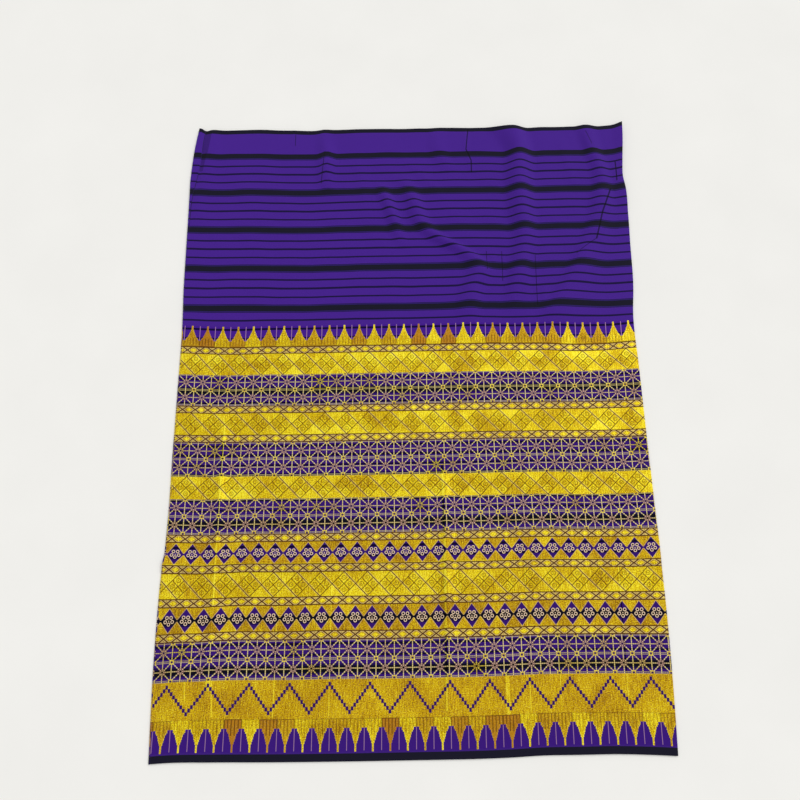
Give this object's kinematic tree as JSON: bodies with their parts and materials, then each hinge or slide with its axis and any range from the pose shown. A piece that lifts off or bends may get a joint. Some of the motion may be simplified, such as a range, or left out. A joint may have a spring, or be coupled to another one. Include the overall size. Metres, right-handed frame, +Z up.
{
  "type": "tapis cloth",
  "caption": "Tube skirt of purple striped cloth with a wide gold thread pattern above the hem, laid flat with its front on its back.",
  "frame": {"origin": "on the surface the skirt lies on, below the middle of its bounding box", "axes": "+X across the skirt towards its plain side fold, +Y along the skirt from hem to waist edge, +Z up out of the front"},
  "size_m": [0.862, 1.1668, 0.0135],
  "materials": {
    "cloth": "matt purple cotton with black stripes and couched gold metal thread"
  },
  "bodies": {
    "root": {"tapis_skirt": "cloth"}
  },
  "joints": []
}
